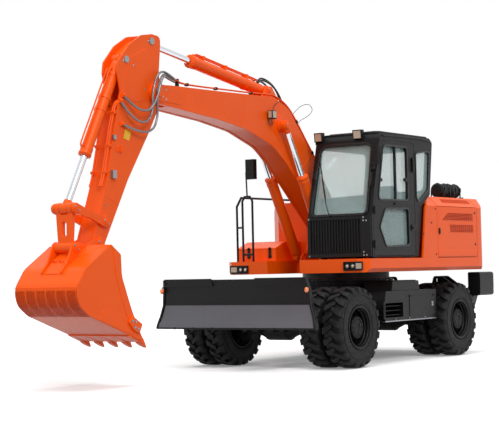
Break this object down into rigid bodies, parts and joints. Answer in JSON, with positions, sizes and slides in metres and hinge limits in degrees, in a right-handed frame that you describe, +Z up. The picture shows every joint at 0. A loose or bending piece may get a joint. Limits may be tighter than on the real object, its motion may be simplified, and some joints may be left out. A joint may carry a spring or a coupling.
{
  "type": "wheeled excavator",
  "caption": "Wheeled excavator with a slewing upper structure, one-piece boom, arm and bucket, dozer blade, rear stabilisers and twin tyres on steered and rigid axles.",
  "frame": {"origin": "on the ground, under the middle of the machine's box at rest", "axes": "+X forwards, towards the bucket; +Y to the operator's left; +Z up"},
  "size_m": [8.3166, 2.5, 4.1545],
  "materials": {
    "orange_paint": "gloss",
    "black_paint": "satin",
    "grey_paint": "satin",
    "machined_steel": "machined",
    "chrome_rod": "polished",
    "tyre_rubber": "matt",
    "clear_glass": "clear",
    "seat_fabric": "woven"
  },
  "bodies": {
    "undercarriage": {"chassis_frame": "black_paint", "front_axle": "black_paint", "rear_axle": "black_paint", "transmission": "grey_paint", "left_side_box": "black_paint", "right_side_box": "black_paint", "slew_ring": "machined_steel"},
    "upper_structure": {"deck_frame": "orange_paint", "counterweight": "orange_paint", "house_frame": "orange_paint", "fuel_tank": "orange_paint", "front_tool_box": "orange_paint", "handrail": "black_paint", "engine_block": "grey_paint", "cab_frame": "black_paint", "windscreen": "clear_glass", "quarter_glass": "clear_glass", "right_glass": "clear_glass", "rear_glass": "clear_glass", "operator_seat": "seat_fabric"},
    "left_steering": {"left_knuckle": "black_paint"},
    "right_steering": {"right_knuckle": "black_paint"},
    "front_left_wheel": {"front_left_tyres": "tyre_rubber", "front_left_rims": "black_paint"},
    "front_right_wheel": {"front_right_tyres": "tyre_rubber", "front_right_rims": "black_paint"},
    "rear_left_wheel": {"rear_left_tyres": "tyre_rubber", "rear_left_rims": "black_paint"},
    "rear_right_wheel": {"rear_right_tyres": "tyre_rubber", "rear_right_rims": "black_paint"},
    "blade_lift_arms": {"blade_arms": "black_paint"},
    "blade": {"dozer_blade": "grey_paint"},
    "blade_link": {"blade_top_link": "black_paint"},
    "blade_barrel": {"blade_cylinder_barrel": "black_paint"},
    "blade_rod": {"blade_cylinder_rod": "chrome_rod"},
    "left_leg": {"left_stabiliser": "black_paint"},
    "left_leg_barrel": {"left_stabiliser_barrel": "black_paint"},
    "left_leg_rod": {"left_stabiliser_rod": "chrome_rod"},
    "right_leg": {"right_stabiliser": "black_paint"},
    "right_leg_barrel": {"right_stabiliser_barrel": "black_paint"},
    "right_leg_rod": {"right_stabiliser_rod": "chrome_rod"},
    "main_boom": {"boom": "orange_paint"},
    "boom_barrels": {"boom_cylinder_barrels": "orange_paint"},
    "boom_rods": {"left_boom_cylinder_rod": "chrome_rod", "right_boom_cylinder_rod": "chrome_rod"},
    "dipper_arm": {"arm": "orange_paint"},
    "arm_barrel": {"arm_cylinder_barrel": "orange_paint"},
    "arm_rod": {"arm_cylinder_rod": "chrome_rod"},
    "digging_bucket": {"bucket": "orange_paint"},
    "idler": {"idler_link": "orange_paint"},
    "link": {"bucket_link": "orange_paint"},
    "bucket_barrel": {"bucket_cylinder_barrel": "orange_paint"},
    "bucket_rod": {"bucket_cylinder_rod": "chrome_rod"},
    "door": {"cab_door": "black_paint", "door_glass": "clear_glass"},
    "hood": {"engine_hood": "orange_paint", "air_cleaner": "black_paint"},
    "left_engine_door": {"left_rear_door": "orange_paint"},
    "right_engine_door": {"right_rear_door": "orange_paint"},
    "tool_lid": {"tool_box_lid": "orange_paint"}
  },
  "joints": [
    {"name": "slew", "type": "hinge", "parent": "undercarriage", "child": "upper_structure", "pos_m": [-1.90326, 0, 1.15], "axis": [0, 0, 1], "continuous": true},
    {"name": "steer_left", "type": "hinge", "parent": "undercarriage", "child": "left_steering", "pos_m": [-0.20326, 0.6, 0.525], "axis": [0, 0, 1], "range_deg": [-30, 30]},
    {"name": "steer_right", "type": "hinge", "parent": "undercarriage", "child": "right_steering", "pos_m": [-0.20326, -0.6, 0.525], "axis": [0, 0, 1], "range_deg": [-30, 30]},
    {"name": "front_left_wheel_spin", "type": "hinge", "parent": "left_steering", "child": "front_left_wheel", "pos_m": [-0.20326, 0.9325, 0.525], "axis": [0, 1, 0], "continuous": true},
    {"name": "front_right_wheel_spin", "type": "hinge", "parent": "right_steering", "child": "front_right_wheel", "pos_m": [-0.20326, -0.9325, 0.525], "axis": [0, 1, 0], "continuous": true},
    {"name": "rear_left_wheel_spin", "type": "hinge", "parent": "undercarriage", "child": "rear_left_wheel", "pos_m": [-3.00326, 0.9325, 0.525], "axis": [0, 1, 0], "continuous": true},
    {"name": "rear_right_wheel_spin", "type": "hinge", "parent": "undercarriage", "child": "rear_right_wheel", "pos_m": [-3.00326, -0.9325, 0.525], "axis": [0, 1, 0], "continuous": true},
    {"name": "blade_lower", "type": "hinge", "parent": "undercarriage", "child": "blade_lift_arms", "pos_m": [0.17674, 0, 0.56], "axis": [0, 1, 0], "range_deg": [0, 52.4]},
    {"name": "blade_level", "type": "hinge", "parent": "blade_lift_arms", "child": "blade", "pos_m": [0.71174, 0, 0.832], "axis": [0, 1, 0], "range_deg": [-53, 1]},
    {"name": "blade_link_turn", "type": "hinge", "parent": "undercarriage", "child": "blade_link", "pos_m": [0.17674, 0, 0.73], "axis": [0, 1, 0], "range_deg": [-1, 53]},
    {"name": "blade_barrel_tilt", "type": "hinge", "parent": "undercarriage", "child": "blade_barrel", "pos_m": [0.08674, 0, 0.905], "axis": [0, 1, 0], "range_deg": [-1, 27.5]},
    {"name": "blade_rod_stroke", "type": "slide", "parent": "blade_barrel", "child": "blade_rod", "axis": [0.9144, 0, -0.4049], "range_m": [-0.005, 0.22]},
    {"name": "boom_raise", "type": "hinge", "parent": "upper_structure", "child": "main_boom", "pos_m": [-1.77326, -0.15, 1.73], "axis": [0, -1, 0], "range_deg": [-42, 35]},
    {"name": "boom_barrel_tilt", "type": "hinge", "parent": "upper_structure", "child": "boom_barrels", "pos_m": [-1.27826, -0.15, 1.46], "axis": [0, -1, 0], "range_deg": [-44, 37]},
    {"name": "boom_rod_stroke", "type": "slide", "parent": "boom_barrels", "child": "boom_rods", "axis": [0.5006, 0, 0.8657], "range_m": [-0.4, 0.33]},
    {"name": "arm_crowd", "type": "hinge", "parent": "main_boom", "child": "dipper_arm", "pos_m": [2.32574, -0.15, 3.438], "axis": [0, 1, 0], "range_deg": [-60, 40]},
    {"name": "arm_barrel_tilt", "type": "hinge", "parent": "main_boom", "child": "arm_barrel", "pos_m": [-0.13326, -0.15, 3.69], "axis": [0, 1, 0], "range_deg": [-3, 3]},
    {"name": "arm_rod_stroke", "type": "slide", "parent": "arm_barrel", "child": "arm_rod", "axis": [0.9889, 0, 0.1486], "range_m": [-0.6, 0.41]},
    {"name": "bucket_curl", "type": "hinge", "parent": "dipper_arm", "child": "digging_bucket", "pos_m": [3.40674, -0.15, 1.63], "axis": [0, 1, 0], "range_deg": [-75, 65]},
    {"name": "idler_turn", "type": "hinge", "parent": "dipper_arm", "child": "idler", "pos_m": [3.31174, -0.15, 1.88], "axis": [0, 1, 0], "range_deg": [-67, 58]},
    {"name": "link_turn", "type": "hinge", "parent": "idler", "child": "link", "pos_m": [3.81174, -0.15, 2.028], "axis": [0, 1, 0], "range_deg": [-33, 38]},
    {"name": "bucket_barrel_tilt", "type": "hinge", "parent": "dipper_arm", "child": "bucket_barrel", "pos_m": [2.85374, -0.15, 3.8], "axis": [0, 1, 0], "range_deg": [-3, 3]},
    {"name": "bucket_rod_stroke", "type": "slide", "parent": "bucket_barrel", "child": "bucket_rod", "axis": [0.4756, 0, -0.8797], "range_m": [-0.52, 0.45]},
    {"name": "cab_door_swing", "type": "hinge", "parent": "upper_structure", "child": "door", "pos_m": [-1.80826, 1.212, 2.2], "axis": [0, 0, 1], "range_deg": [0, 115]},
    {"name": "hood_lift", "type": "hinge", "parent": "upper_structure", "child": "hood", "pos_m": [-3.60626, 0, 2.28], "axis": [0, -1, 0], "range_deg": [0, 60]},
    {"name": "left_rear_door_swing", "type": "hinge", "parent": "upper_structure", "child": "left_engine_door", "pos_m": [-3.60826, 1.24, 1.78], "axis": [0, 0, 1], "range_deg": [0, 100]},
    {"name": "right_rear_door_swing", "type": "hinge", "parent": "upper_structure", "child": "right_engine_door", "pos_m": [-3.60826, -1.24, 1.78], "axis": [0, 0, -1], "range_deg": [0, 100]},
    {"name": "tool_lid_lift", "type": "hinge", "parent": "upper_structure", "child": "tool_lid", "pos_m": [-1.58326, -0.895, 1.69], "axis": [0, -1, 0], "range_deg": [0, 50]},
    {"name": "left_leg_lower", "type": "hinge", "parent": "undercarriage", "child": "left_leg", "pos_m": [-3.93326, 0.8, 0.42], "axis": [-1, 0, 0], "range_deg": [0, 88]},
    {"name": "left_leg_barrel_tilt", "type": "hinge", "parent": "undercarriage", "child": "left_leg_barrel", "pos_m": [-3.93326, 0.45, 1.08], "axis": [-1, 0, 0], "range_deg": [-3, 3]},
    {"name": "left_leg_rod_stroke", "type": "slide", "parent": "left_leg_barrel", "child": "left_leg_rod", "axis": [0, 0.6467, -0.7628], "range_m": [-0.01, 0.295]},
    {"name": "right_leg_lower", "type": "hinge", "parent": "undercarriage", "child": "right_leg", "pos_m": [-3.93326, -0.8, 0.42], "axis": [1, 0, 0], "range_deg": [0, 88]},
    {"name": "right_leg_barrel_tilt", "type": "hinge", "parent": "undercarriage", "child": "right_leg_barrel", "pos_m": [-3.93326, -0.45, 1.08], "axis": [1, 0, 0], "range_deg": [-3, 3]},
    {"name": "right_leg_rod_stroke", "type": "slide", "parent": "right_leg_barrel", "child": "right_leg_rod", "axis": [0, -0.6467, -0.7628], "range_m": [-0.01, 0.295]}
  ],
  "couplings": [
    {"joint": "steer_right", "follows": "steer_left", "ratio": 1},
    {"joint": "blade_level", "follows": "blade_lower", "ratio": -1},
    {"joint": "blade_link_turn", "follows": "blade_lower", "ratio": 1},
    {"joint": "blade_barrel_tilt", "follows": "blade_lower", "ratio": 0.504},
    {"joint": "blade_rod_stroke", "follows": "blade_lower", "m_per_rad": 0.232},
    {"joint": "boom_barrel_tilt", "follows": "boom_raise", "ratio": 1.022},
    {"joint": "boom_rod_stroke", "follows": "boom_raise", "m_per_rad": 0.522},
    {"joint": "arm_barrel_tilt", "follows": "arm_crowd", "ratio": 0.0128},
    {"joint": "arm_rod_stroke", "follows": "arm_crowd", "m_per_rad": 0.57},
    {"joint": "idler_turn", "follows": "bucket_curl", "ratio": 0.8705},
    {"joint": "link_turn", "follows": "bucket_curl", "ratio": -0.4796},
    {"joint": "bucket_barrel_tilt", "follows": "bucket_curl", "ratio": 0.029},
    {"joint": "bucket_rod_stroke", "follows": "bucket_curl", "m_per_rad": 0.3902},
    {"joint": "left_leg_barrel_tilt", "follows": "left_leg_lower", "ratio": -0.0132},
    {"joint": "left_leg_rod_stroke", "follows": "left_leg_lower", "m_per_rad": 0.1864},
    {"joint": "right_leg_barrel_tilt", "follows": "right_leg_lower", "ratio": -0.0132},
    {"joint": "right_leg_rod_stroke", "follows": "right_leg_lower", "m_per_rad": 0.1864}
  ]
}
